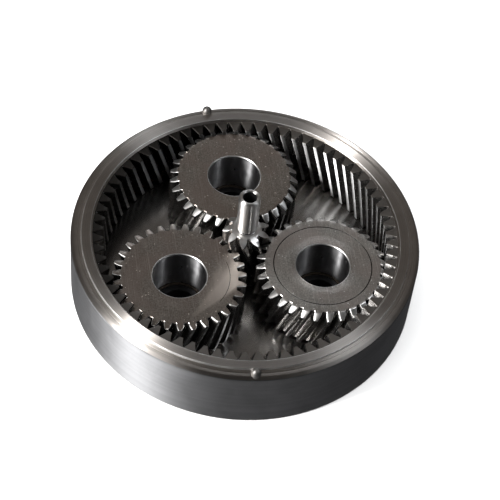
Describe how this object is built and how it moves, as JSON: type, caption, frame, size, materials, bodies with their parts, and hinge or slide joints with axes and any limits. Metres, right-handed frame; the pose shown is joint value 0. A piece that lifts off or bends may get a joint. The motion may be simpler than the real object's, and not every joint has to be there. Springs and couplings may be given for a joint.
{
  "type": "planetary gearbox",
  "caption": "Single-stage helical planetary gear set: a fixed ring gear, planets on a turning carrier plate, and a sun pinion on the input shaft.",
  "frame": {"origin": "centre of the face the ring gear stands on, on the shared gear axis", "axes": "+Z along the gear axis, from the carrier side to the input shaft's end; +Y points at planet 1; +X completes a right-handed frame"},
  "size_m": [0.09, 0.09, 0.0333],
  "materials": {
    "ring_steel": "fine-turned dark steel, lathe marks round the rim and outer wall",
    "planet_steel": "ground and lightly scratched grey-brown steel, bore honed bright",
    "sun_steel": "ground bright shaft, satin teeth",
    "carrier_steel": "turned dark steel",
    "pin_steel": "black-oxide hardened steel",
    "bush_metal": "sintered bearing bronze, darkened by oil",
    "washer_steel": "ground thrust washer",
    "liner_bronze": "dark rolled bearing bronze",
    "black_spring_steel": "phosphated spring steel",
    "dowel_steel": "ground hardened dowel, domed end"
  },
  "bodies": {
    "ring": {"ring_gear": "ring_steel", "carrier_liner": "liner_bronze", "carrier_retaining_ring": "black_spring_steel", "rim_dowel_rear": "dowel_steel", "rim_dowel_front": "dowel_steel"},
    "carrier": {"carrier_plate": "carrier_steel", "planet_pin_1": "pin_steel", "planet_pin_2": "pin_steel", "planet_pin_3": "pin_steel", "planet_bush_1": "bush_metal", "planet_bush_2": "bush_metal", "planet_bush_3": "bush_metal", "thrust_washer_1": "washer_steel", "thrust_washer_2": "washer_steel", "thrust_washer_3": "washer_steel", "sun_pilot_bush": "bush_metal", "sun_thrust_washer": "washer_steel"},
    "planet_1": {"planet_gear_1": "planet_steel"},
    "planet_2": {"planet_gear_2": "planet_steel"},
    "planet_3": {"planet_gear_3": "planet_steel"},
    "sun": {"sun_pinion_shaft": "sun_steel"}
  },
  "joints": [
    {"name": "carrier_spin", "type": "hinge", "parent": "ring", "child": "carrier", "pos_m": [0, 0, 0.002], "axis": [0, 0, 1], "continuous": true},
    {"name": "sun_spin", "type": "hinge", "parent": "ring", "child": "sun", "pos_m": [0, 0, 0.012], "axis": [0, 0, 1], "continuous": true},
    {"name": "planet_1_spin", "type": "hinge", "parent": "carrier", "child": "planet_1", "pos_m": [0, 0.0213, 0.0105], "axis": [0, 0, 1], "continuous": true},
    {"name": "planet_2_spin", "type": "hinge", "parent": "carrier", "child": "planet_2", "pos_m": [-0.01845, -0.01065, 0.0105], "axis": [0, 0, 1], "continuous": true},
    {"name": "planet_3_spin", "type": "hinge", "parent": "carrier", "child": "planet_3", "pos_m": [0.01845, -0.01065, 0.0105], "axis": [0, 0, 1], "continuous": true}
  ],
  "couplings": [
    {"joint": "sun_spin", "follows": "carrier_spin", "ratio": 9},
    {"joint": "planet_1_spin", "follows": "carrier_spin", "ratio": -2.3226},
    {"joint": "planet_2_spin", "follows": "carrier_spin", "ratio": -2.3226},
    {"joint": "planet_3_spin", "follows": "carrier_spin", "ratio": -2.3226}
  ]
}
